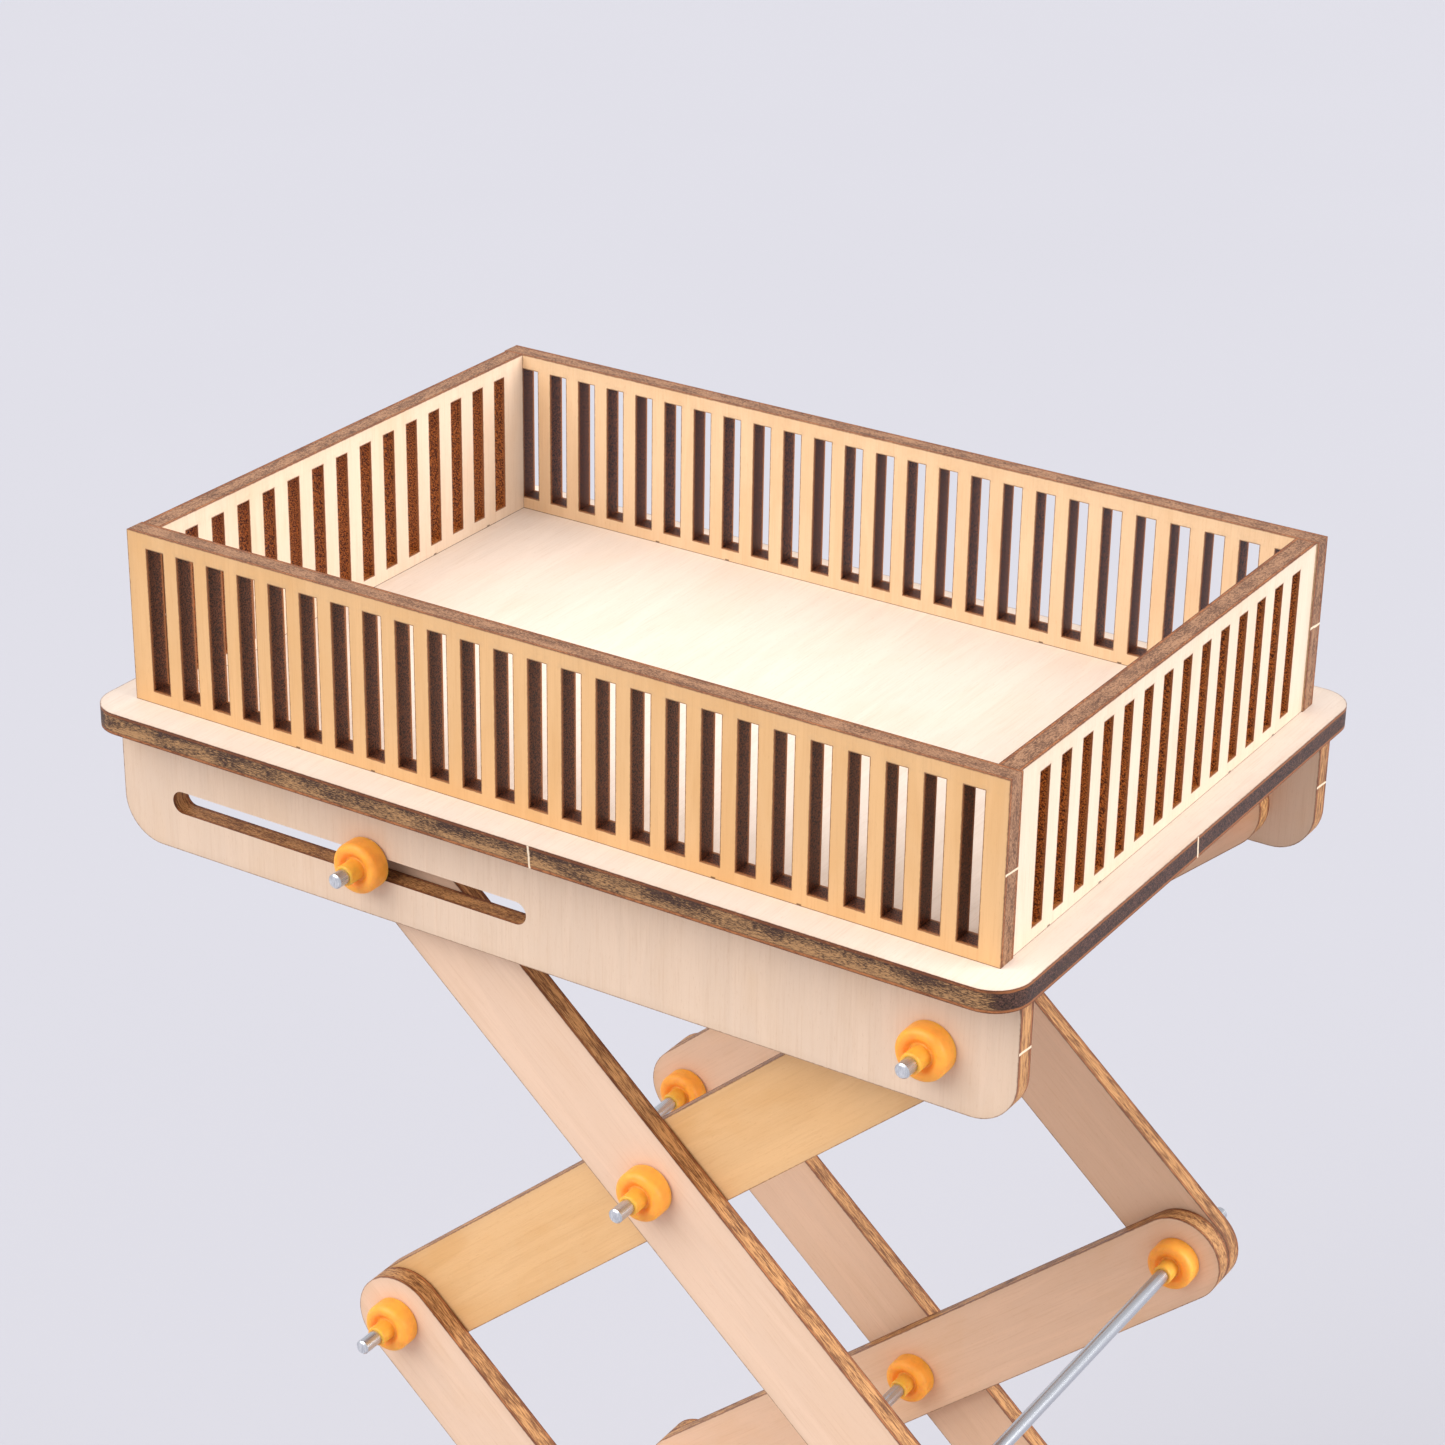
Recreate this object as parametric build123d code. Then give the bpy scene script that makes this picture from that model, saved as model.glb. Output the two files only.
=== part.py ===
from build123d import *
import os
from math import asin, degrees, sqrt

# A wooden scissor lift platform with three stages, in millimetres.
# X runs along the deck, from the sliding end to the pivot end, Y from front to back, Z up.
# The origin is the middle of the base plate's underside.

# Stock
ply = 3.0
rod_radius = 1.0
rod_chamfer = 0.2

# Clearances
running_clearance = 0.05   # radial, between a shaft and the piece that turns on it
layer_gap = 0.3            # between two layers of ply that slide past each other
stop_gap = 0.15            # between a stop and the ply that slides past it

# Scissor stages, all three alike
arm_length = 110.0         # between the end holes
arm_width = 13.0
stage_height = 72.5        # between the upper and the lower end holes
half_base = sqrt(arm_length**2 - stage_height**2) / 2
arm_angle = degrees(asin(stage_height / arm_length))

# Where the rods run
pivot_x = 56.0
slider_x = pivot_x - 2 * half_base
centre_x = pivot_x - half_base
base_pivot_z = 24.0
lower_joint_z = base_pivot_z + stage_height
upper_joint_z = lower_joint_z + stage_height
deck_pivot_z = upper_joint_z + stage_height

# Deck and base plate
plate_length = 137.6
plate_width = 97.0
plate_corner = 5.0
deck_pivot_drop = 10.0     # from the deck's underside to the pivot under it
deck_underside_z = deck_pivot_z + deck_pivot_drop
deck_top_z = deck_underside_z + ply

# Side rails, upright under the deck and on the base plate
rail_length = 135.0
rail_spread = 86.0         # over both outer faces
rail_corner = 6.0
rail_margin = 7.7          # from the pivot to the rail's free edge
rail_slot_length = 57.2
rail_slot_height = 3.2
rail_slot_x = -30.6
rail_slot_shift = 0.5      # of its middle, towards the free edge, so that the rod bears on the slot
rail_tab_length = 12.0
rail_tab_places = (-55.5, 0.0, 55.5)

# Fence around the deck
fence_length = 129.0
fence_height = 24.0
fence_slot_bottom = 1.8
fence_slot_height = 20.1
long_slot_count = 25
long_slot_pitch = 5.0
long_slot_width = 2.8
long_tab_length = 12.0
long_tab_places = (-31.5, 31.5)
short_slot_count = 14
short_slot_pitch = 5.25
short_slot_width = 2.4
short_tab_length = 13.0
short_tab_places = (-24.5, 24.5)
short_fence_inset = 0.2    # of its outer face from the ends of the long panels
short_fence_length = rail_spread - 2 * ply

# Rods and the silicone stops pushed onto them
long_rod_length = 100.0
short_rod_length = 95.5
stop_radius = 3.5
stop_disc_thickness = 3.0
stop_ridge_radius = 2.3    # where the disc's front starts to dip towards the neck
stop_neck_radius = 1.4
stop_groove_height = 2.2
stop_length = 5.0
stop_rounding = 0.8
stop_small_rounding = 0.3
stop_groove_rounding = 0.2
spacer_length = 3.2

# Layers across the width, as distances from a rail's outer face
outer_arm_depth = ply + layer_gap
inner_arm_depth = outer_arm_depth + ply + layer_gap

# Lead screw, its boards, nut and crank
screw_radius = 3.0
screw_drop = 9.0           # of its axis below the base pivots
screw_z = base_pivot_z - screw_drop
screw_start_x = -75.5
screw_end_x = 10.0
thread_start_x = -59.0
thread_end_x = 2.0
thread_pitch = 2.0
thread_depth = 0.5
left_board_x = -66.0
left_board_height = 23.0
middle_board_x = 3.5
middle_board_height = 18.0
board_width = 80.0
board_tab_length = 14.0
board_tab_places = (-26.0, 26.0)
nut_length = 10.0
nut_width = 14.0
nut_bottom_z = 10.0
nut_top_z = 28.0
nut_bore_radius = 3.3
collar_radius = 5.5
collar_length = 2.8
crank_x = -75.0
crank_throw = 9.0
crank_width = 9.0
grip_radius = 3.0
grip_length = 13.0
grip_pin_radius = 1.5
grip_pin_length = 17.5
grip_rounding = 0.8


def save(node, *solids):
    """Write one node, with one or more separate solids."""
    shape = solids[0] if len(solids) == 1 else Compound(children=list(solids))
    export_step(shape, f"parts/{node}.step")


def mirror_y(solid):
    """The same piece on the other side of the platform."""
    return mirror(solid, Plane.XZ)


def front_sheet(sketch, depth):
    """A sheet of ply that stands along X, its outer face at a depth behind the front rail's face."""
    return Pos(0, -rail_spread / 2 + depth + ply, 0) * extrude(Plane.XZ * sketch, ply)


def cross_sheet(sketch, x):
    """A sheet of ply that stands across the platform, from x to x + ply."""
    return Pos(x, 0, 0) * extrude(Plane.YZ * sketch, ply)


def tabs(places, length, towards):
    """Tabs one ply long on the edge v = 0 of a sheet, pointing towards -v or +v."""
    tab = Rectangle(length, ply)
    return [Pos(place, towards * ply / 2) * tab for place in places]


def disc_row(holes):
    """Round holes at the places and radii given."""
    return [Pos(u, v) * Circle(radius) for u, v, radius in holes]


def fence_sketch(length, slot_count, slot_pitch, slot_width, tab_length, tab_places):
    """A slatted fence panel, standing on the line v = 0."""
    panel = Rectangle(length, fence_height, align=(Align.CENTER, Align.MIN))
    slot = Rectangle(slot_width, fence_slot_height, align=(Align.CENTER, Align.MIN))
    first = -slot_pitch * (slot_count - 1) / 2
    for index in range(slot_count):
        panel -= Pos(first + index * slot_pitch, fence_slot_bottom) * slot
    for tab in tabs(tab_places, tab_length, -1):
        panel += tab
    return panel


def rail_sketch(height, pivot_height, fixed_edge_v, up):
    """A side rail with a slot for the sliding rod and a hole for the fixed one.

    up is 1 for a rail that stands up from its fixed edge and -1 for one that hangs from it.
    """
    body = Rectangle(rail_length, height)
    free_corners = body.vertices().sort_by(Axis.Y)
    free_corners = free_corners[2:] if up > 0 else free_corners[:2]
    body = fillet(free_corners, rail_corner)
    body = Pos(0, up * height / 2) * body
    for tab in tabs(rail_tab_places, rail_tab_length, -up):
        body += tab
    slot_height = up * (pivot_height + rail_slot_shift)
    body -= Pos(rail_slot_x, slot_height) * SlotOverall(rail_slot_length, rail_slot_height)
    body -= Pos(pivot_x, up * pivot_height) * Circle(rod_radius)
    return Pos(0, fixed_edge_v) * body


def plate(underside_z, mortises):
    """A horizontal plate with rounded corners and a mortise for every tab."""
    outline = RectangleRounded(plate_length, plate_width, plate_corner)
    for x, y, length_x, length_y in mortises:
        outline -= Pos(x, y) * Rectangle(length_x, length_y)
    return Pos(0, 0, underside_z) * extrude(outline, ply)


def both_long_sides(places, length):
    """Mortises under the two long sheets, which stand over the rails."""
    row_y = rail_spread / 2 - ply / 2
    return [(place, side * row_y, length, ply) for place in places for side in (-1, 1)]


def cross_mortises(x, places, length):
    """Mortises under a sheet that stands across the platform, from x to x + ply."""
    return [(x + ply / 2, place, ply, length) for place in places]


def arm(lower_x, lower_z, upper_x, depth, lower_hole, centre_hole, upper_hole):
    """One scissor arm with round ends, from its lower hole to its upper one."""
    lean = 1 if upper_x > lower_x else -1
    half = arm_length / 2
    outline = SlotCenterToCenter(arm_length, arm_width)
    for hole in disc_row([(-half, 0, lower_hole), (0, 0, centre_hole), (half, 0, upper_hole)]):
        outline -= hole
    turn = arm_angle if lean > 0 else 180 - arm_angle
    middle_x = (lower_x + upper_x) / 2
    placed = Pos(middle_x, lower_z + stage_height / 2) * Rot(0, 0, turn) * outline
    return front_sheet(placed, depth)


def rod_y(x, z, radius, length):
    """A steel rod that runs across the platform."""
    rod = Cylinder(radius, length)
    rod = chamfer(rod.edges().filter_by(GeomType.CIRCLE), rod_chamfer)
    return Pos(x, 0, z) * Rot(90, 0, 0) * rod


def turned(points, roundings):
    """A solid turned about the Y axis from its half section, with some of its corners rounded."""
    section = make_face(Polyline(*points, points[0]))
    for (x, y), radius in roundings.items():
        section = fillet(section.vertices().sort_by_distance((x, y, 0))[0], radius)
    return revolve(section, Axis.Y)


def stop_shape():
    """A push-on stop: a disc that dips around a short neck, its back face on y = 0."""
    back = (stop_radius, 0)
    shoulder = (stop_radius, stop_disc_thickness)
    ridge = (stop_ridge_radius, stop_disc_thickness)
    groove = (stop_neck_radius, stop_groove_height)
    mouth = (stop_neck_radius, stop_length)
    points = [(rod_radius, 0), back, shoulder, ridge, groove, mouth, (rod_radius, stop_length)]
    roundings = {back: stop_small_rounding, shoulder: stop_rounding, ridge: stop_rounding,
                 groove: stop_groove_rounding, mouth: stop_small_rounding}
    return turned(points, roundings)


def spacer_shape():
    """A short ring that fills the place of a missing layer of ply."""
    back = (stop_radius, 0)
    front = (stop_radius, spacer_length)
    points = [(rod_radius, 0), back, front, (rod_radius, spacer_length)]
    return turned(points, {back: stop_small_rounding, front: stop_small_rounding})


def stop_pair(x, z, depth, kind):
    """The same stop at the front and at the back, its back face at a depth behind the rail's face."""
    face_y = -rail_spread / 2 + depth
    shape = spacer_shape() if kind == "spacer" else stop_shape()
    if kind == "outward":
        shape = Rot(0, 0, 180) * shape
    front = Pos(x, face_y, z) * shape
    return [front, mirror_y(front)]


def make_deck_and_base():
    """The two plates, each with a mortise for every tab that enters it."""
    short_x = fence_length / 2 - short_fence_inset - ply
    deck_mortises = both_long_sides(long_tab_places, long_tab_length)
    deck_mortises += both_long_sides(rail_tab_places, rail_tab_length)
    deck_mortises += cross_mortises(short_x, short_tab_places, short_tab_length)
    deck_mortises += cross_mortises(-short_x - ply, short_tab_places, short_tab_length)
    save("deck", plate(deck_underside_z, deck_mortises))

    base_mortises = both_long_sides(rail_tab_places, rail_tab_length)
    base_mortises += cross_mortises(left_board_x, board_tab_places, board_tab_length)
    base_mortises += cross_mortises(middle_board_x, board_tab_places, board_tab_length)
    save("base_plate", plate(0, base_mortises))


def make_fence():
    """Two long and two short slatted panels."""
    long_sketch = fence_sketch(fence_length, long_slot_count, long_slot_pitch, long_slot_width,
                               long_tab_length, long_tab_places)
    front = front_sheet(Pos(0, deck_top_z) * long_sketch, 0)
    save("fence_front", front)
    save("fence_back", mirror_y(front))

    short_sketch = fence_sketch(short_fence_length, short_slot_count, short_slot_pitch, short_slot_width,
                                short_tab_length, short_tab_places)
    short_x = fence_length / 2 - short_fence_inset - ply
    right = cross_sheet(Pos(0, deck_top_z) * short_sketch, short_x)
    save("fence_right", right)
    save("fence_left", mirror(right, Plane.YZ))


def make_rails():
    """Two rails hang from the deck and two taller ones stand on the base plate."""
    deck_rail_height = deck_pivot_drop + rail_margin
    deck_sketch = rail_sketch(deck_rail_height, deck_pivot_drop, deck_underside_z, -1)
    deck_rail = front_sheet(deck_sketch, 0)
    save("deck_rail_front", deck_rail)
    save("deck_rail_back", mirror_y(deck_rail))

    base_pivot_height = base_pivot_z - ply
    base_sketch = rail_sketch(base_pivot_height + rail_margin, base_pivot_height, ply, 1)
    base_rail = front_sheet(base_sketch, 0)
    save("base_rail_front", base_rail)
    save("base_rail_back", mirror_y(base_rail))


def make_arms():
    """Twelve arms: each stage has an outer pair and an inner pair that cross at their middles."""
    tight = rod_radius
    running = rod_radius + running_clearance
    outer, inner = outer_arm_depth, inner_arm_depth
    arms = {
        "lower_outer_arm": arm(pivot_x, base_pivot_z, slider_x, outer, running, tight, tight),
        "lower_inner_arm": arm(slider_x, base_pivot_z, pivot_x, inner, tight, running, tight),
        "middle_inner_arm": arm(slider_x, lower_joint_z, pivot_x, inner, running, tight, tight),
        "middle_outer_arm": arm(pivot_x, lower_joint_z, slider_x, outer, running, running, tight),
        "upper_inner_arm": arm(slider_x, upper_joint_z, pivot_x, inner, running, tight, running),
        "upper_outer_arm": arm(pivot_x, upper_joint_z, slider_x, outer, running, running, tight),
    }
    for name, front in arms.items():
        save(f"{name}_front", front)
        save(f"{name}_back", mirror_y(front))


def make_rods_and_stops():
    """Eleven rods across the platform, each with a stop on either side of the ply at both ends.

    A stop rests against ply that moves with its rod and stands a small gap off ply that doesn't.
    """
    outer_face = outer_arm_depth
    outer_back = outer_arm_depth + ply
    inner_back = inner_arm_depth + ply
    lower_centre_z = base_pivot_z + stage_height / 2
    held_by_outer = [(outer_face, "outward"), (inner_back + stop_gap, "inward")]
    held_by_inner = [(outer_face - stop_gap, "outward"), (inner_back, "inward")]
    rods = {
        "base_pivot": (pivot_x, base_pivot_z, long_rod_length,
                       [(0, "outward"), (outer_back + stop_gap, "inward")]),
        "base_slider": (slider_x, base_pivot_z, long_rod_length,
                        [(-stop_gap, "outward"), (ply + stop_gap, "spacer"), (inner_back, "inward")]),
        "lower_centre": (centre_x, lower_centre_z, short_rod_length, held_by_outer),
        "lower_left_joint": (slider_x, lower_joint_z, short_rod_length, held_by_outer),
        "lower_right_joint": (pivot_x, lower_joint_z, short_rod_length, held_by_inner),
        "middle_centre": (centre_x, lower_centre_z + stage_height, short_rod_length, held_by_inner),
        "upper_left_joint": (slider_x, upper_joint_z, short_rod_length, held_by_outer),
        "upper_right_joint": (pivot_x, upper_joint_z, short_rod_length, held_by_inner),
        "upper_centre": (centre_x, lower_centre_z + 2 * stage_height, short_rod_length, held_by_inner),
        "deck_slider": (slider_x, deck_pivot_z, long_rod_length,
                        [(-stop_gap, "outward"), (outer_back, "inward")]),
        "deck_pivot": (pivot_x, deck_pivot_z, long_rod_length,
                       [(0, "outward"), (ply, "spacer"), (inner_back + stop_gap, "inward")]),
    }
    for name, (x, z, length, stops) in rods.items():
        save(f"{name}_rod", rod_y(x, z, rod_radius, length))
        pairs = [stop_pair(x, z, depth, kind) for depth, kind in stops]
        save(f"{name}_stops", *[stop for pair in pairs for stop in pair])


def board_sketch(height):
    """An upright board between the base rails, with a bearing hole for the lead screw."""
    board = Pos(0, ply) * Rectangle(board_width, height, align=(Align.CENTER, Align.MIN))
    for tab in tabs(board_tab_places, board_tab_length, -1):
        board += Pos(0, ply) * tab
    return board - Pos(0, screw_z) * Circle(screw_radius + running_clearance)


def thread_outline():
    """Half the lead screw's section: plain journals and a grooved stretch between them."""
    points = [(screw_start_x, 0), (screw_start_x, screw_radius)]
    groove_count = int((thread_end_x - thread_start_x) / thread_pitch)
    for index in range(groove_count):
        crest_x = thread_start_x + index * thread_pitch
        points.append((crest_x, screw_radius))
        points.append((crest_x + thread_pitch / 2, screw_radius - thread_depth))
    points.append((thread_end_x, screw_radius))
    points += [(screw_end_x, screw_radius), (screw_end_x, 0), (screw_start_x, 0)]
    return make_face(Polyline(*points))


def rod_x(start_x, y, z, radius, length):
    """A round bar along X from start_x."""
    bar = Cylinder(radius, length, align=(Align.CENTER, Align.CENTER, Align.MIN))
    return Pos(start_x, y, z) * Rot(0, 90, 0) * bar


def make_screw_drive():
    """The crank turns the lead screw, and its nut draws the base slider along the base rails."""
    save("screw_board_left", cross_sheet(board_sketch(left_board_height), left_board_x))
    save("screw_board_middle", cross_sheet(board_sketch(middle_board_height), middle_board_x))
    save("lead_screw", Pos(0, 0, screw_z) * revolve(thread_outline(), Axis.X))

    block = Box(nut_length, nut_width, nut_top_z - nut_bottom_z)
    block = Pos(slider_x, 0, (nut_top_z + nut_bottom_z) / 2) * block
    block -= rod_x(slider_x - nut_length, 0, screw_z, nut_bore_radius, 2 * nut_length)
    slider_bore = Rot(90, 0, 0) * Cylinder(rod_radius + running_clearance, 2 * nut_width)
    save("nut_block", block - Pos(slider_x, 0, base_pivot_z) * slider_bore)

    inner_collar_x = left_board_x + ply + stop_gap
    outer_collar_x = left_board_x - stop_gap - collar_length
    journal = rod_x(screw_start_x, 0, screw_z, screw_radius, screw_end_x - screw_start_x)
    collars = [rod_x(x, 0, screw_z, collar_radius, collar_length) - journal
               for x in (inner_collar_x, outer_collar_x)]
    save("screw_collars", *collars)

    throw_middle_z = screw_z + crank_throw / 2
    crank = Pos(0, throw_middle_z) * Rot(0, 0, 90) * SlotCenterToCenter(crank_throw, crank_width)
    crank -= Pos(0, screw_z) * Circle(screw_radius)
    crank -= Pos(0, screw_z + crank_throw) * Circle(grip_pin_radius)
    save("crank_arm", cross_sheet(crank, crank_x))

    grip_z = screw_z + crank_throw
    pin = rod_x(crank_x + ply - grip_pin_length, 0, grip_z, grip_pin_radius, grip_pin_length)
    grip = rod_x(crank_x - grip_length, 0, grip_z, grip_radius, grip_length) - pin
    save("crank_pin", pin)
    rims = grip.edges().filter_by(GeomType.CIRCLE).group_by(SortBy.RADIUS)[-1]
    save("crank_grip", fillet(rims, grip_rounding))


os.makedirs("parts", exist_ok=True)
make_deck_and_base()
make_fence()
make_rails()
make_arms()
make_rods_and_stops()
make_screw_drive()
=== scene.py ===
import math

import bpy
from mathutils import Matrix, Vector


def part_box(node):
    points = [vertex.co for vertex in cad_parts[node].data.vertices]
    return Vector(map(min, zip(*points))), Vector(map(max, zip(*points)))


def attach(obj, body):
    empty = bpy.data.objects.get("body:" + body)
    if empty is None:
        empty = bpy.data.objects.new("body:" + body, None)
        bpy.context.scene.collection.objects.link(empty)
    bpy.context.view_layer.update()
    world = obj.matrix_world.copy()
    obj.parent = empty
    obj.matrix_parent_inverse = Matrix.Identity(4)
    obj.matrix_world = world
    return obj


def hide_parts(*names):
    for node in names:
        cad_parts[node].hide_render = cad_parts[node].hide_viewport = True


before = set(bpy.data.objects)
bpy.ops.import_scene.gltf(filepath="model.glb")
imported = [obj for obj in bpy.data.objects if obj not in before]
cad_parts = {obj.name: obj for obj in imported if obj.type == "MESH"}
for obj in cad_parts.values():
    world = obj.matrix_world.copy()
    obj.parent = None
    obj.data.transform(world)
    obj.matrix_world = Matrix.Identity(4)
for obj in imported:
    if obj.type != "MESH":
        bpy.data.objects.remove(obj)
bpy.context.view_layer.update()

# The looks of a laser-cut plywood scissor lift.
# Lengths are in metres, and in millimetres inside materials and where a comment or a name says so.

MM = 0.001
X = Vector((1, 0, 0))
Y = Vector((0, 1, 0))
Z = Vector((0, 0, 1))

# Camera
LENS = 89.2
SENSOR = 36.0
CAMERA_TARGET = Vector((-0.45, -0.26, 251.35)) * MM
CAMERA_DISTANCE = 473.6 * MM
CAMERA_AZIMUTH = 32.22
CAMERA_ELEVATION = 25.48
CAMERA_ROLL = 0.92

# The floor, from its middle to its edge, in metres
FLOOR_HALF = 30.0

# Sizes of the frame's pieces, in millimetres, for the scorch marks that follow their outlines and the
# painted shade along the fence panels' feet
PLY = 3.0
ARM_LENGTH = 110.0
ARM_RADIUS = 6.5
PLATE_CORNER = 5.0
RAIL_CORNER = 6.0
LONG_SLOTS = {"count": 25, "pitch": 5.0, "width": 2.8}
SHORT_SLOTS = {"count": 14, "pitch": 5.25, "width": 2.4}
FENCE_SLOT_BOTTOM = 1.8
FENCE_SLOT_HEIGHT = 20.1
DECK_NICK = 2.6
# Where the fence panels' tabs end, from a panel's middle, for the notches of painted shade at their feet
LONG_TAB_ENDS = (25.5, 37.5)
SHORT_TAB_ENDS = (18.0, 31.0)

# The lead screw's four-start thread, in millimetres
THREAD_SPAN = (-59.0, 2.0)
THREAD_PITCH = 2.0
THREAD_STARTS = 4
THREAD_DEPTH = 0.5
THREAD_STEP = 0.25
SCREW_SIDES = 56
SCREW_CHAMFER = 0.3

# Colours, linear
CREAM = (0.76, 0.60, 0.46)
DECK_CREAM = (0.79, 0.665, 0.565)
PINK_TAN = (0.74, 0.52, 0.375)
RAIL_CREAM = (0.70, 0.525, 0.39)
FAR_CREAM = (0.80, 0.57, 0.355)
WARM_TAN = (0.76, 0.515, 0.355)
GOLDEN = (0.72, 0.435, 0.205)
HONEY = (0.68, 0.37, 0.14)
CHOCOLATE = (0.060, 0.019, 0.009)
REDDISH = (0.15, 0.045, 0.016)
EMBER = (0.42, 0.155, 0.052)
BRONZE = (0.37, 0.190, 0.100)
SMOKE = (0.42, 0.29, 0.18)
FRESH = (0.80, 0.64, 0.46)
SILICONE = (0.98, 0.39, 0.050)
STEEL = (0.60, 0.62, 0.66)
GREY_STEEL = (0.42, 0.43, 0.46)
SAWN_STEEL = (0.80, 0.81, 0.83)
NYLON = (0.74, 0.72, 0.64)
AGED_NYLON = (0.66, 0.63, 0.54)
BEECH = (0.62, 0.36, 0.17)
DARK_BEECH = (0.46, 0.23, 0.09)
BEECH_FLECK = (0.30, 0.13, 0.05)
BACKDROP = (0.442, 0.438, 0.473)
SKY = (0.97, 0.97, 1.0)
SKY_STRENGTH = 0.78

# Cut edges: the light and the dark of the core, how much of it is dark, how that share leans from
# one face to the other, and how fine the speckle is each way
SPECKLED = {"light": (0.42, 0.225, 0.095), "dark": (0.046, 0.020, 0.012), "share": 0.03, "lean": 0.045,
            "grain": (1.4, 1.4, 7.0)}
BROWNED = {"light": BRONZE, "dark": (0.11, 0.045, 0.022), "share": 0.0, "lean": 0.0,
           "grain": (2.4, 2.4, 6.5)}
TOASTED = {"light": (0.56, 0.28, 0.105), "dark": (0.17, 0.062, 0.020), "share": 0.0, "lean": 0.0,
           "grain": (1.6, 0.45, 5.5)}

# The veneers' glue lines, from the middle of the sheet in millimetres
GLUE_LINE = 1.04

# Slot walls: the soot and the brown that shows through it
SOOTY = ((0.014, 0.004, 0.002), (0.175, 0.046, 0.015))
RUSTY = ((0.060, 0.013, 0.004), (0.62, 0.185, 0.032))

# The charred core: the black and the brown of its dust
SOOT = ((0.010, 0.004, 0.003), (0.125, 0.055, 0.038))

# How deep the fine bump is, in metres
RELIEF = 0.05 * MM

# The seed of the first arm's grain. Each arm after it has the next one.
FIRST_ARM_SEED = 11.0


class Graph:
    """One material's nodes, with positions in millimetres in the piece's own frame."""

    def __init__(self, name):
        self.material = bpy.data.materials.new(name)
        self.material.use_nodes = True
        self.tree = self.material.node_tree
        self.shader = self.tree.nodes["Principled BSDF"]
        coordinates = self.tree.nodes.new("ShaderNodeTexCoord")
        self.point = self.vector("MULTIPLY", coordinates.outputs["Object"], (1000, 1000, 1000))
        self.normal = coordinates.outputs["Normal"]

    def put(self, socket, value):
        if isinstance(value, bpy.types.NodeSocket):
            self.tree.links.new(value, socket)
        else:
            socket.default_value = value

    def vector(self, operation, first, second):
        node = self.tree.nodes.new("ShaderNodeVectorMath")
        node.operation = operation
        self.put(node.inputs[0], first)
        self.put(node.inputs[1], second)
        return node.outputs["Value" if operation == "DOT_PRODUCT" else "Vector"]

    def math(self, operation, first, second=0.0):
        node = self.tree.nodes.new("ShaderNodeMath")
        node.operation = operation
        self.put(node.inputs[0], first)
        self.put(node.inputs[1], second)
        return node.outputs[0]

    def apart(self, value, place):
        """How far a value is from a place, either way."""
        return self.math("ABSOLUTE", self.math("SUBTRACT", value, place))

    def length(self, first, second):
        """The length of a step of first one way and second at right angles to it."""
        across = self.math("MULTIPLY", second, second)
        squares = self.math("ADD", self.math("MULTIPLY", first, first), across)
        return self.math("SQRT", squares)

    def along(self, vector, direction, centre=None):
        """How far a vector reaches along a direction, from a centre."""
        if centre is not None:
            vector = self.vector("SUBTRACT", vector, tuple(centre))
        return self.vector("DOT_PRODUCT", vector, tuple(direction))

    def join(self, x, y, z):
        node = self.tree.nodes.new("ShaderNodeCombineXYZ")
        for socket, value in zip(node.inputs, (x, y, z)):
            self.put(socket, value)
        return node.outputs[0]

    def fade(self, value, low, high, start=0.0, end=1.0):
        """A smooth step from start at low to end at high."""
        node = self.tree.nodes.new("ShaderNodeMapRange")
        node.interpolation_type = "SMOOTHSTEP"
        for socket, number in zip(node.inputs, (value, low, high, start, end)):
            self.put(socket, number)
        return node.outputs[0]

    def mix(self, first, second, share, blend="MIX"):
        node = self.tree.nodes.new("ShaderNodeMix")
        node.data_type = "RGBA"
        node.blend_type = blend
        self.put(node.inputs[0], share)
        for socket, colour in ((node.inputs[6], first), (node.inputs[7], second)):
            self.put(socket, (*colour, 1) if isinstance(colour, tuple) else colour)
        return node.outputs[2]

    def noise(self, vector, scale, detail=3.0, roughness=0.55, distortion=0.0):
        node = self.tree.nodes.new("ShaderNodeTexNoise")
        self.put(node.inputs["Vector"], vector)
        node.inputs["Scale"].default_value = scale
        node.inputs["Detail"].default_value = detail
        node.inputs["Roughness"].default_value = roughness
        node.inputs["Distortion"].default_value = distortion
        return node.outputs["Fac"]

    def stretched(self, axes, stretch, seed):
        """The point (u, v, t), with each axis scaled, moved away by a seed."""
        scaled = self.join(*(self.math("MULTIPLY", value, share) for value, share in zip(axes, stretch)))
        return self.vector("ADD", scaled, (seed * 7.3, seed * 3.1, seed * 5.7))

    def bump(self, height, strength, distance):
        node = self.tree.nodes.new("ShaderNodeBump")
        node.inputs["Strength"].default_value = strength
        node.inputs["Distance"].default_value = distance
        self.put(node.inputs["Height"], height)
        self.put(self.shader.inputs["Normal"], node.outputs[0])


def box_mm(node):
    """A node's lowest and highest corners, in millimetres."""
    low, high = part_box(node)
    return low / MM, high / MM


def outline_distance(graph, u, v, half_u, half_v, corner):
    """How far a point of the sheet is outside its outline, below zero inside. Corners are round."""
    outside_u = graph.math("SUBTRACT", graph.math("ABSOLUTE", u), half_u - corner)
    outside_v = graph.math("SUBTRACT", graph.math("ABSOLUTE", v), half_v - corner)
    reach_u = graph.math("MAXIMUM", outside_u, 0.0)
    reach_v = graph.math("MAXIMUM", outside_v, 0.0)
    within = graph.math("MINIMUM", graph.math("MAXIMUM", outside_u, outside_v), 0.0)
    return graph.math("SUBTRACT", graph.math("ADD", graph.length(reach_u, reach_v), within), corner)


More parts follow.
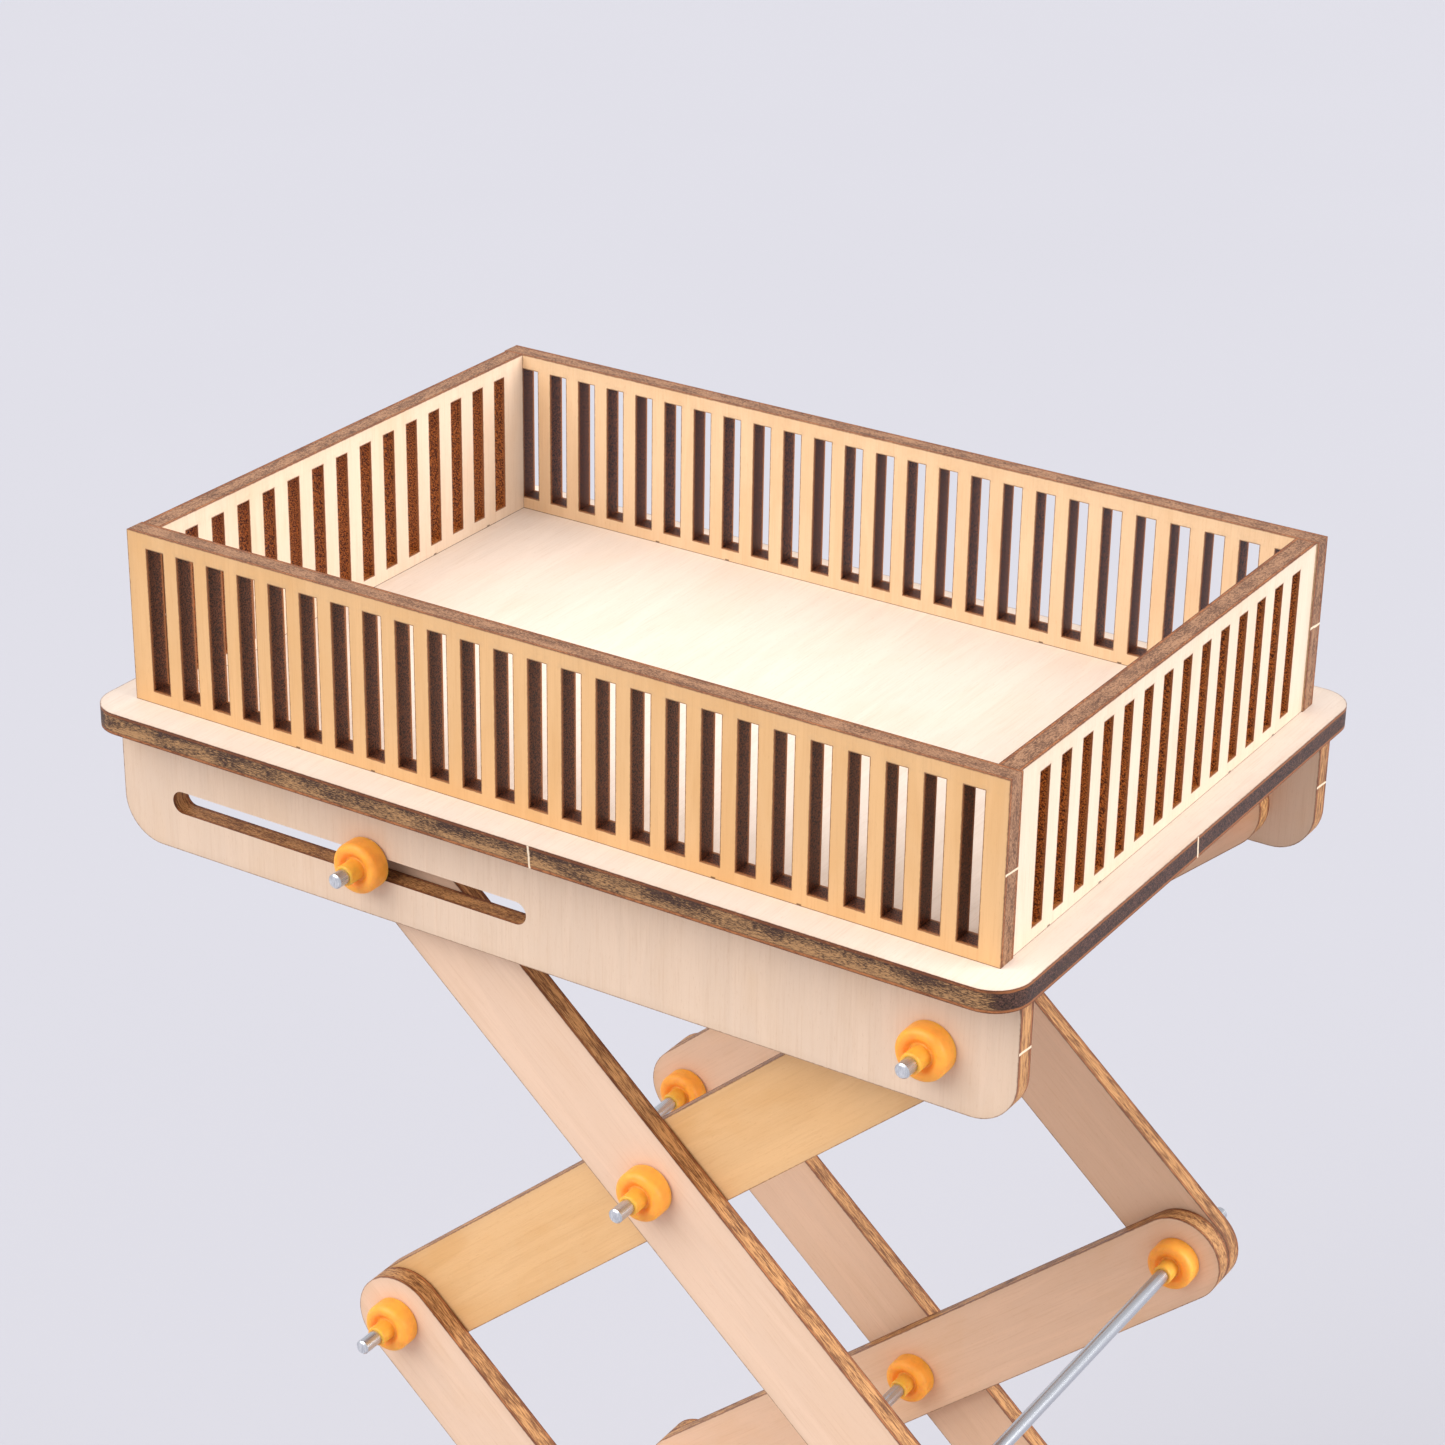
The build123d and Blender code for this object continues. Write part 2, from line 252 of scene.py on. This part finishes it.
def slot_distance(graph, u, v, slots, bottom, top):
    """How far a point of a fence panel is from its nearest slot, above the slots and beside a slot."""
    shift = 0.0 if slots["count"] % 2 else 0.5
    turns = graph.math("ADD", graph.math("DIVIDE", u, slots["pitch"]), shift)
    offset = graph.math("SUBTRACT", turns, graph.math("ROUND", turns))
    reach = graph.math("MULTIPLY", graph.math("ABSOLUTE", offset), slots["pitch"])
    sideways = graph.math("MAXIMUM", graph.math("SUBTRACT", reach, slots["width"] / 2), 0.0)
    beyond = graph.math("SUBTRACT", graph.math("ABSOLUTE", u), slots["count"] * slots["pitch"] / 2)
    sideways = graph.math("MAXIMUM", sideways, beyond)
    from_middle = graph.apart(v, (bottom + top) / 2)
    upright = graph.math("MAXIMUM", graph.math("SUBTRACT", from_middle, (top - bottom) / 2), 0.0)
    return graph.length(sideways, upright), graph.math("SUBTRACT", v, top), sideways


def wood_face(graph, axes, tone, patch_tone, patches, seed):
    """The veneer: broad clouds, grain lines along v and fine dark pores."""
    clouds = graph.noise(graph.stretched(axes, (0.07, 0.04, 0.0), seed), 1.0, 4.0, 0.6, 0.4)
    colour = graph.mix(tone, patch_tone, graph.fade(clouds, 0.40, 0.72, 0.0, patches))
    flame = graph.noise(graph.stretched(axes, (0.30, 0.03, 0.0), seed + 1), 1.0, 2.0, 0.5, 1.2)
    lighter = tuple(min(1.0, part * 1.08) for part in tone)
    colour = graph.mix(colour, lighter, graph.fade(flame, 0.45, 0.65, 0.0, 0.45))
    darker = tuple(part * share for part, share in zip(tone, (0.84, 0.75, 0.66)))
    lines = graph.noise(graph.stretched(axes, (4.2, 0.12, 0.5), seed + 2), 1.0, 3.0, 0.6)
    colour = graph.mix(colour, darker, graph.fade(lines, 0.45, 0.80, 0.0, 0.38))
    pores = graph.noise(graph.stretched(axes, (8.5, 1.1, 0.5), seed + 3), 1.0, 1.0, 0.4)
    colour = graph.mix(colour, darker, graph.fade(pores, 0.62, 0.80, 0.0, 0.40))
    return colour, graph.math("ADD", lines, graph.math("MULTIPLY", pores, -0.8))


def wood_edge(graph, axes, seed, style, soot):
    """A laser-cut edge: browned face veneers, glue lines, and a finely speckled core under some soot."""
    t = axes[2]
    depth = graph.math("ABSOLUTE", t)
    fine = graph.noise(graph.stretched(axes, style["grain"], seed + 4), 1.0, 4.0, 0.75)
    slow = graph.noise(graph.stretched(axes, (0.22, 0.22, 0.8), seed + 5), 1.0, 2.0, 0.5)
    burn = graph.math("ADD", fine, graph.math("MULTIPLY", graph.math("SUBTRACT", slow, 0.5), 0.35))
    burn = graph.math("ADD", burn, graph.math("MULTIPLY", t, style["lean"]))
    burn = graph.math("ADD", burn, graph.math("ADD", soot, style["share"]))
    core = graph.mix(style["light"], style["dark"], graph.fade(burn, 0.40, 0.62))
    dust = graph.noise(graph.stretched(axes, (3.5, 3.5, 4.5), seed + 7), 1.0, 3.0, 0.8)
    charred = graph.mix(*SOOT, graph.fade(dust, 0.42, 0.60))
    core = graph.mix(core, charred, graph.fade(burn, 0.58, 0.78, 0.0, 0.9))
    ragged = graph.math("ADD", depth, graph.math("MULTIPLY", graph.math("SUBTRACT", fine, 0.5), 0.4))
    veneer = graph.mix(EMBER, REDDISH, graph.fade(burn, 0.35, 0.60))
    veneer = graph.mix(veneer, EMBER, graph.math("MULTIPLY", soot, 2.0))
    colour = graph.mix(core, veneer, graph.fade(ragged, 1.02, 1.14))
    glue = graph.fade(graph.apart(ragged, GLUE_LINE), 0.0, 0.12, 0.6, 0.0)
    colour = graph.mix(colour, style["dark"], glue)
    rim = graph.fade(depth, 1.34, 1.47, 0.0, 0.75)
    return graph.mix(colour, CHOCOLATE, rim), fine


def slot_wall(graph, axes, seed, wall):
    """The wall of a fence slot: soot over brown, redder towards both faces."""
    fuzz = graph.noise(graph.stretched(axes, (4.5, 4.5, 4.5), seed + 9), 1.0, 4.0, 0.75)
    colour = graph.mix(*wall, graph.fade(fuzz, 0.43, 0.58))
    ragged = graph.math("ADD", graph.math("ABSOLUTE", axes[2]), graph.math("MULTIPLY", fuzz, 0.6))
    return graph.mix(colour, EMBER, graph.fade(ragged, 1.25, 1.75, 0.0, 0.85))


def slot_marks(graph, face, slot_place, wobble):
    """Browned rims and a faint plume of smoke above each slot, on a fence panel's faces."""
    away, above, sideways = slot_place
    ragged = graph.math("SUBTRACT", away, graph.math("MULTIPLY", wobble, 0.16))
    face = graph.mix(face, REDDISH, graph.fade(ragged, -0.02, 0.08, 0.75, 0.0))
    plume = graph.math("MULTIPLY", graph.fade(above, 0.0, 2.0, 0.20, 0.0), graph.fade(above, -0.4, 0.0))
    plume = graph.math("MULTIPLY", plume, graph.fade(sideways, 0.1, 1.0, 1.0, 0.15))
    plume = graph.math("MULTIPLY", plume, graph.fade(wobble, 0.35, 0.65, 0.2, 1.0))
    return graph.mix(face, SMOKE, plume)


def painted_foot_shade(graph, face, u, v, tab_ends):
    """Painted shade: a dark line along the foot of a panel where it meets the deck, with a small dark
    notch of painted shade at each end of its tabs, where they go down into the deck.
    """
    # The painted shade of the gap under the panel's foot, and below it a notch of painted shade at each
    # tab end
    foot = graph.fade(v, 0.06, 0.14, 0.7, 0.0)
    for end in tab_ends:
        beside = graph.apart(graph.math("ABSOLUTE", u), end)
        low = graph.fade(v, 0.20, 0.35, 1.0, 0.0)
        notch_shade = graph.math("MULTIPLY", graph.fade(beside, 0.25, 0.40, 0.8, 0.0), low)
        foot = graph.math("MAXIMUM", foot, notch_shade)
    return graph.mix(face, CHOCOLATE, foot)


def nick_marks(graph, edge_colour, axes, nick, facing_across, wobble, distance):
    """Fresh wood where a small bridge held the piece in its sheet, on the edges along u and along v."""
    u, v, t = axes
    on_side = graph.fade(facing_across, 0.5, 0.7)
    on_end = graph.fade(facing_across, 0.3, 0.5, 1.0, 0.0)
    slant = graph.math("MULTIPLY", graph.math("ADD", t, graph.math("MULTIPLY", wobble, 4.0)), 0.09)
    for along, place, mask in ((u, nick[0], on_end), (v, nick[1], on_side)):
        if place is not None:
            away = graph.apart(graph.math("ADD", along, slant), place)
            mark = graph.math("MULTIPLY", graph.fade(away, 0.10, 0.22, 1.0, 0.0), mask)
            mark = graph.math("MULTIPLY", mark, graph.fade(distance, -0.3, -0.1))
            edge_colour = graph.mix(edge_colour, FRESH, mark)
    return edge_colour


def outline_marks(graph, face, distance, wobble):
    """A ragged brown rim along the outline, and a breath of smoke inside it."""
    ragged = graph.math("ADD", distance, graph.math("MULTIPLY", wobble, 0.20))
    face = graph.mix(face, REDDISH, graph.fade(ragged, -0.10, 0.12, 0.0, 0.85))
    return graph.mix(face, SMOKE, graph.fade(distance, -1.4, 0.0, 0.0, 0.12))


def ply(name, across, up, through, centre, tone, halves, patch_tone=HONEY, patches=0.5, seed=0.0,
        corner=0.0, slots=None, slot_span=None, wall=SOOTY, style=TOASTED, soot=0.0, nick=None,
        tab_ends=()):
    """Laser-cut plywood. across, up and through are the sheet's own axes, and the grain runs along up.

    halves is half the outline each way. A panel with slots stands on v = 0 and has no outline there.
    """
    graph = Graph(name)
    axes = tuple(graph.along(graph.point, axis, centre) for axis in (across, up, through))
    u, v, _ = axes
    facing = graph.math("ABSOLUTE", graph.along(graph.normal, through))
    edge = graph.fade(facing, 0.4, 0.7, 1.0, 0.0)
    facing_across = graph.math("ABSOLUTE", graph.along(graph.normal, across))
    sooty = graph.fade(facing_across, 0.3, 0.8, 0.0, soot)
    face, grain = wood_face(graph, axes, tone, patch_tone, patches, seed)
    wobble = graph.noise(graph.stretched(axes, (1.6, 1.6, 1.0), seed + 8), 1.0, 3.0, 0.6)
    if slots:
        top = graph.math("SUBTRACT", v, halves[1])
        sides = graph.math("SUBTRACT", graph.math("ABSOLUTE", u), halves[0])
        distance = graph.math("MAXIMUM", top, sides)
    else:
        distance = outline_distance(graph, u, v, *halves, corner)
    face = outline_marks(graph, face, distance, wobble)
    edge_colour, fine = wood_edge(graph, axes, seed, style, sooty)
    if slots:
        slot_place = slot_distance(graph, u, v, slots, *slot_span)
        face = slot_marks(graph, face, slot_place, wobble)
        inside = graph.fade(slot_place[0], 0.0, 0.05, 1.0, 0.0)
        edge_colour = graph.mix(edge_colour, slot_wall(graph, axes, seed, wall), inside)
        # Painted shade along the panel's foot and at the ends of its tabs
        face = painted_foot_shade(graph, face, u, v, tab_ends)
    if nick:
        edge_colour = nick_marks(graph, edge_colour, axes, nick, facing_across, wobble, distance)
    graph.put(graph.shader.inputs["Base Color"], graph.mix(face, edge_colour, edge))
    graph.put(graph.shader.inputs["Roughness"], graph.fade(grain, 0.2, 1.0, 0.50, 0.68))
    graph.shader.inputs["Specular IOR Level"].default_value = 0.28
    relief = graph.math("ADD", grain, graph.math("MULTIPLY", graph.math("MULTIPLY", fine, edge), 3.0))
    graph.bump(relief, 0.35, RELIEF)
    return graph.material


def silicone(name, tone, seed):
    """Soft, slightly translucent silicone with a faint matt skin."""
    graph = Graph(name)
    cloud = graph.noise(graph.vector("ADD", graph.point, (seed, seed, seed)), 0.6, 3.0, 0.6)
    deeper = tuple(part * 0.86 for part in tone)
    graph.put(graph.shader.inputs["Base Color"], graph.mix(tone, deeper, graph.fade(cloud, 0.4, 0.7)))
    skin = graph.noise(graph.point, 5.0, 4.0, 0.6)
    graph.put(graph.shader.inputs["Roughness"], graph.fade(skin, 0.3, 0.7, 0.38, 0.50))
    graph.shader.inputs["Subsurface Weight"].default_value = 0.65
    graph.shader.inputs["Subsurface Radius"].default_value = (1.0, 0.40, 0.08)
    graph.shader.inputs["Subsurface Scale"].default_value = 2.2 * MM
    graph.shader.inputs["Specular IOR Level"].default_value = 0.4
    graph.bump(skin, 0.12, 0.03 * MM)
    return graph.material


def steel(name, direction, seed):
    """Bright drawn rod: fine lines along its length, and a rougher sawn end."""
    graph = Graph(name)
    length = graph.along(graph.point, direction)
    rest = graph.vector("SUBTRACT", graph.point, graph.vector("MULTIPLY", graph.point, tuple(direction)))
    drawn = graph.vector("ADD", graph.vector("MULTIPLY", rest, (9.0, 9.0, 9.0)), (seed, seed, seed))
    drift = graph.join(graph.math("MULTIPLY", length, 0.05), 0.0, 0.0)
    lines = graph.noise(graph.vector("ADD", drawn, drift), 1.0, 2.0)
    sawn = graph.fade(graph.math("ABSOLUTE", graph.along(graph.normal, direction)), 0.6, 0.9)
    marks = graph.noise(graph.vector("MULTIPLY", graph.point, (6.0, 6.0, 1.2)), 1.0, 3.0, 0.7)
    colour = graph.mix(STEEL, GREY_STEEL, graph.fade(lines, 0.4, 0.75, 0.0, 0.7))
    bright = graph.math("MULTIPLY", sawn, graph.fade(marks, 0.35, 0.65))
    colour = graph.mix(colour, SAWN_STEEL, bright)
    graph.put(graph.shader.inputs["Base Color"], colour)
    graph.shader.inputs["Metallic"].default_value = 1.0
    rough = graph.math("ADD", graph.fade(lines, 0.3, 0.7, 0.20, 0.34), graph.math("MULTIPLY", sawn, 0.2))
    graph.put(graph.shader.inputs["Roughness"], rough)
    saw_marks = graph.math("MULTIPLY", graph.math("MULTIPLY", marks, sawn), 2.5)
    graph.bump(graph.math("ADD", lines, saw_marks), 0.2, RELIEF)
    return graph.material


def paint(node, material):
    """Gives a CAD node its material."""
    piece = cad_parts[node]
    piece.data.materials.clear()
    piece.data.materials.append(material)


def paint_fence():
    """Two long panels and two short ones, each cut from a different part of the sheet."""
    span = (FENCE_SLOT_BOTTOM, FENCE_SLOT_BOTTOM + FENCE_SLOT_HEIGHT)
    panels = {
        "fence_front": (X, Y, LONG_SLOTS, GOLDEN, 0.55, 1.0, SOOTY, LONG_TAB_ENDS),
        "fence_back": (X, Y, LONG_SLOTS, FAR_CREAM, 0.25, 2.0, SOOTY, LONG_TAB_ENDS),
        "fence_left": (Y, X, SHORT_SLOTS, CREAM, 0.2, 3.0, RUSTY, SHORT_TAB_ENDS),
        "fence_right": (Y, X, SHORT_SLOTS, CREAM, 0.15, 4.0, RUSTY, SHORT_TAB_ENDS),
    }
    for node, (across, through, slots, tone, patches, seed, wall, tab_ends) in panels.items():
        low, high = box_mm(node)
        foot = low.z + PLY
        centre = Vector(((low.x + high.x) / 2, (low.y + high.y) / 2, foot))
        half = (high - low).dot(across) / 2
        height = high.z - foot
        paint(node, ply(node, across, Z, through, centre, tone, (half, height), patches=patches,
                        seed=seed, slots=slots, slot_span=span, wall=wall, style=BROWNED,
                        nick=(None, height / 2), tab_ends=tab_ends))


def paint_plates():
    """The deck and the base plate lie flat, with the grain across them."""
    for node, seed, tone in (("deck", 5.0, DECK_CREAM), ("base_plate", 6.0, PINK_TAN)):
        low, high = box_mm(node)
        centre = (low + high) / 2
        half = (high - low) / 2
        paint(node, ply(node, X, Y, Z, centre, tone, (half.x, half.y), CREAM, 0.4, seed, PLATE_CORNER,
                        style=SPECKLED, soot=0.22, nick=(DECK_NICK, 0.0)))


def paint_rails():
    """Side rails: the grain runs up and down, and the free corners are round."""
    rails = ("deck_rail_front", "deck_rail_back", "base_rail_front", "base_rail_back")
    for node, seed in zip(rails, (7.0, 8.0, 9.0, 10.0)):
        low, high = box_mm(node)
        centre = (low + high) / 2
        half = (high - low) / 2
        paint(node, ply(node, X, Z, Y, centre, RAIL_CREAM, (half.x, half.z), GOLDEN, 0.20, seed,
                        RAIL_CORNER, nick=(None, 0.0)))


def paint_arms():
    """Scissor arms, with the grain along each arm."""
    tones = {
        "upper_outer_arm": (PINK_TAN, 0.10),
        "upper_inner_arm": (GOLDEN, 0.80),
        "middle_outer_arm": (PINK_TAN, 0.20),
        "middle_inner_arm": (CREAM, 0.30),
        "lower_outer_arm": (PINK_TAN, 0.25),
        "lower_inner_arm": (PINK_TAN, 0.30),
    }
    halves = (ARM_RADIUS, ARM_LENGTH / 2 + ARM_RADIUS)
    for index, (name, (tone, patches)) in enumerate(tones.items()):
        for side, end in enumerate(("front", "back")):
            node = f"{name}_{end}"
            low, high = box_mm(node)
            rise = (high.z - low.z - 2 * ARM_RADIUS) / ARM_LENGTH
            run = math.sqrt(1 - rise * rise)
            lean = 1 if "inner" in name else -1
            along = Vector((lean * run, 0, rise))
            across = Vector((rise, 0, -lean * run))
            tone_here = WARM_TAN if side else tone
            seed = FIRST_ARM_SEED + 2 * index + side
            paint(node, ply(node, across, along, Y, (low + high) / 2, tone_here, halves, HONEY, patches,
                            seed, ARM_RADIUS))


def paint_boards():
    """The two boards that carry the lead screw, and the crank arm."""
    for node, seed in (("screw_board_left", 21.0), ("screw_board_middle", 22.0), ("crank_arm", 23.0)):
        low, high = box_mm(node)
        half = (high - low) / 2
        corner = half.y if node == "crank_arm" else 0.0
        paint(node, ply(node, Y, Z, X, (low + high) / 2, PINK_TAN, (half.y, half.z), GOLDEN, 0.4, seed,
                        corner))


def paint_hardware():
    """Steel rods, silicone stops and collars, the crank pin, and a threaded lead screw in place of the
    plain one.
    """
    rod = steel("rod_steel", Y, 1.0)
    screw = steel("screw_steel", X, 2.0)
    rubber = silicone("stop_silicone", SILICONE, 3.0)
    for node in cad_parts:
        if node.endswith("_rod"):
            paint(node, rod)
        if node.endswith("_stops") or node == "screw_collars":
            paint(node, rubber)
    paint("crank_pin", screw)
    build_lead_screw(screw)


def thread_radius(x, turn, radius):
    """The lead screw's radius at x after a share of a turn about its axis."""
    start, end = THREAD_SPAN
    phase = (x / THREAD_PITCH - THREAD_STARTS * turn) % 1.0
    groove = 1 - abs(2 * phase - 1)
    runout = max(0.0, min(1.0, (x - start) / THREAD_PITCH, (end - x) / THREAD_PITCH))
    return radius - THREAD_DEPTH * groove * runout


def build_lead_screw(material):
    """A round bar along X, chamfered at its ends, with a right-hand thread in its middle stretch."""
    low, high = box_mm("lead_screw")
    centre_z = (low.z + high.z) / 2
    radius = (high.z - low.z) / 2
    start, end = THREAD_SPAN
    steps = round((end - start) / THREAD_STEP)
    threaded = [start + index * THREAD_STEP for index in range(steps + 1)]
    stations = [low.x, low.x + SCREW_CHAMFER, *threaded, high.x - SCREW_CHAMFER, high.x]
    vertices = []
    for x in stations:
        bar = radius - SCREW_CHAMFER if x in (low.x, high.x) else radius
        for side in range(SCREW_SIDES):
            turn = side / SCREW_SIDES
            reach = thread_radius(x, turn, bar)
            angle = 2 * math.pi * turn
            point = Vector((x, reach * math.cos(angle), centre_z + reach * math.sin(angle)))
            vertices.append(point * MM)
    faces = []
    for ring in range(len(stations) - 1):
        for side in range(SCREW_SIDES):
            here = ring * SCREW_SIDES + side
            beside = ring * SCREW_SIDES + (side + 1) % SCREW_SIDES
            faces.append((here, beside, beside + SCREW_SIDES, here + SCREW_SIDES))
    last_ring = (len(stations) - 1) * SCREW_SIDES
    faces.append(tuple(reversed(range(SCREW_SIDES))))
    faces.append(tuple(range(last_ring, last_ring + SCREW_SIDES)))
    mesh = bpy.data.meshes.new("lead_screw_thread")
    mesh.from_pydata(vertices, [], faces)
    for face in mesh.polygons:
        face.use_smooth = len(face.vertices) == 4
    mesh.materials.append(material)
    screw = bpy.data.objects.new("lead_screw_thread", mesh)
    bpy.context.collection.objects.link(screw)
    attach(screw, "screw")
    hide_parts("lead_screw")


def nylon(name):
    """Off-white moulded nylon with fine tool marks."""
    graph = Graph(name)
    cloud = graph.noise(graph.point, 0.35, 3.0, 0.6)
    graph.put(graph.shader.inputs["Base Color"], graph.mix(NYLON, AGED_NYLON, cloud))
    marks = graph.noise(graph.vector("MULTIPLY", graph.point, (0.4, 0.4, 8.0)), 1.0, 3.0, 0.6)
    graph.put(graph.shader.inputs["Roughness"], graph.fade(marks, 0.3, 0.7, 0.42, 0.58))
    graph.bump(marks, 0.2, RELIEF)
    return graph.material


def turned_wood(name):
    """Beech, with its grain and pores along X."""
    graph = Graph(name)
    lines = graph.noise(graph.vector("MULTIPLY", graph.point, (0.15, 2.2, 2.2)), 1.0, 4.0, 0.6, 0.5)
    flecks = graph.noise(graph.vector("MULTIPLY", graph.point, (1.2, 8.0, 8.0)), 1.0, 2.0, 0.5)
    colour = graph.mix(BEECH, DARK_BEECH, graph.fade(lines, 0.4, 0.7))
    colour = graph.mix(colour, BEECH_FLECK, graph.fade(flecks, 0.62, 0.75, 0.0, 0.7))
    graph.put(graph.shader.inputs["Base Color"], colour)
    graph.put(graph.shader.inputs["Roughness"], graph.fade(lines, 0.3, 0.7, 0.45, 0.6))
    graph.bump(lines, 0.3, RELIEF)
    return graph.material


def build_camera():
    """The camera looks down at the deck from the front right, level but for a slight roll."""
    azimuth = math.radians(CAMERA_AZIMUTH)
    elevation = math.radians(CAMERA_ELEVATION)
    forward = Vector((-math.sin(azimuth) * math.cos(elevation), math.cos(azimuth) * math.cos(elevation),
                      -math.sin(elevation)))
    right = forward.cross(Z).normalized()
    turn = Matrix.Rotation(math.radians(-CAMERA_ROLL), 3, forward)
    right = turn @ right
    up = right.cross(forward)
    data = bpy.data.cameras.new("camera")
    data.lens = LENS
    data.sensor_width = SENSOR
    data.clip_start = 0.01
    camera = bpy.data.objects.new("camera", data)
    rotation = Matrix((right, up, -forward)).transposed().to_4x4()
    camera.matrix_world = Matrix.Translation(CAMERA_TARGET - forward * CAMERA_DISTANCE) @ rotation
    bpy.context.collection.objects.link(camera)
    bpy.context.scene.camera = camera


def sun(name, towards, strength, spread):
    """A broad soft light from one direction."""
    data = bpy.data.lights.new(name, "SUN")
    data.energy = strength
    data.angle = math.radians(spread)
    light = bpy.data.objects.new(name, data)
    light.rotation_euler = Vector(towards).to_track_quat("Z", "Y").to_euler()
    bpy.context.collection.objects.link(light)


def build_studio():
    """A pale floor that runs to the horizon, an even sky and two soft lights."""
    corners = [(x * FLOOR_HALF, y * FLOOR_HALF, 0) for x, y in ((-1, -1), (1, -1), (1, 1), (-1, 1))]
    mesh = bpy.data.meshes.new("floor")
    mesh.from_pydata(corners, [], [(0, 1, 2, 3)])
    floor = bpy.data.objects.new("floor", mesh)
    bpy.context.collection.objects.link(floor)
    graph = Graph("floor_paper")
    paper = graph.noise(graph.point, 0.004, 2.0)
    tint = tuple(part * 0.97 for part in BACKDROP)
    graph.put(graph.shader.inputs["Base Color"], graph.mix(BACKDROP, tint, paper))
    graph.shader.inputs["Roughness"].default_value = 0.9
    graph.shader.inputs["Specular IOR Level"].default_value = 0.1
    mesh.materials.append(graph.material)
    world = bpy.data.worlds.new("studio")
    world.use_nodes = True
    background = world.node_tree.nodes["Background"]
    background.inputs["Color"].default_value = (*SKY, 1)
    background.inputs["Strength"].default_value = SKY_STRENGTH
    bpy.context.scene.world = world
    sun("right_window", towards=(0.85, 0.25, 0.45), strength=2.95, spread=50)
    sun("front_softbox", towards=(-0.35, -0.6, 0.7), strength=2.4, spread=55)
    bpy.context.scene.view_settings.view_transform = "Standard"


paint_fence()
paint_plates()
paint_rails()
paint_arms()
paint_boards()
paint_hardware()
paint("nut_block", nylon("nut_nylon"))
paint("crank_grip", turned_wood("grip_wood"))
build_camera()
build_studio()
